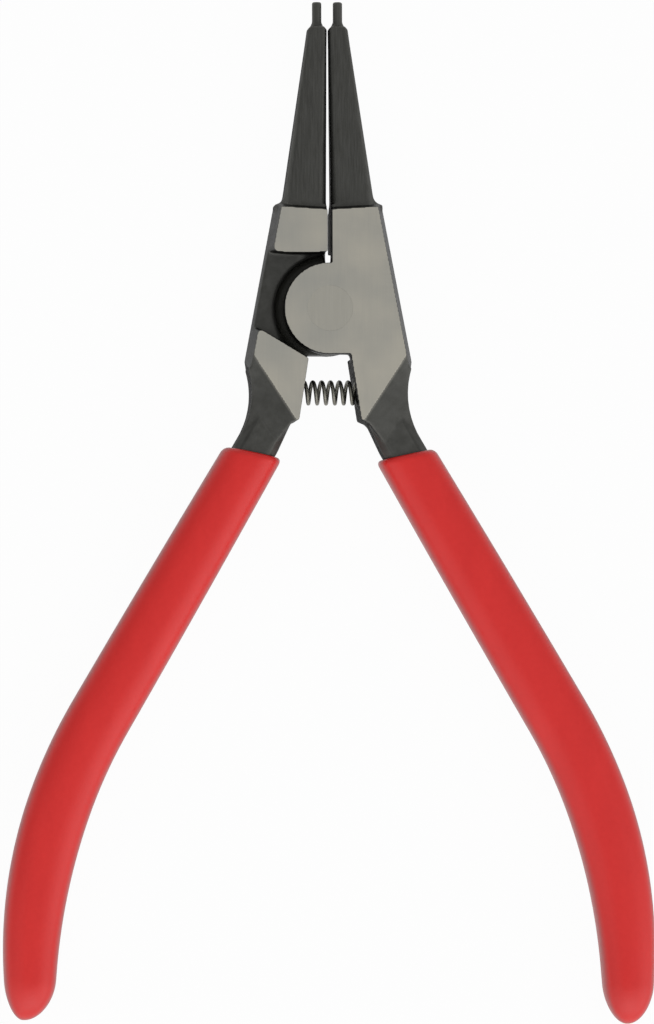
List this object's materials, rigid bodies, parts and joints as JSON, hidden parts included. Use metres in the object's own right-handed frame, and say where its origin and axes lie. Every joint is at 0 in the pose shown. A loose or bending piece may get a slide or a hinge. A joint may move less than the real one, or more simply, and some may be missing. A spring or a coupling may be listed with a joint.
{
  "type": "circlip pliers",
  "caption": "Circlip pliers with slim straight tips and pin ends, a flush riveted lap joint, a coil return spring and bowed dipped grips; squeezing the handles spreads the tips.",
  "frame": {"origin": "on the pivot axis, at the ground face that lies on the bench", "axes": "+Y from the pivot towards the tips, +Z along the pivot axis and up from the bench, +X to the right-hand lever, whose lap is on top"},
  "size_m": [0.0893, 0.1401, 0.0084],
  "materials": {
    "forged_steel": "dark burnished forging, ground bright on the two flat faces of the head",
    "rivet_steel": "ground flush with the head",
    "spring_steel": "dark drawn wire",
    "red_vinyl": "satin dipped vinyl"
  },
  "bodies": {
    "left_half": {"left_lever": "forged_steel", "left_grip": "red_vinyl", "pivot_rivet": "rivet_steel", "return_spring": "spring_steel"},
    "right_half": {"right_lever": "forged_steel", "right_grip": "red_vinyl"}
  },
  "joints": [
    {"name": "squeeze", "type": "hinge", "parent": "left_half", "child": "right_half", "pos_m": [0, 0, 0.0042], "axis": [0, 0, -1], "range_deg": [0, 30], "stiffness_Nm_per_rad": 0.48, "springref_deg": -8.59, "deforming": ["return_spring"]}
  ]
}
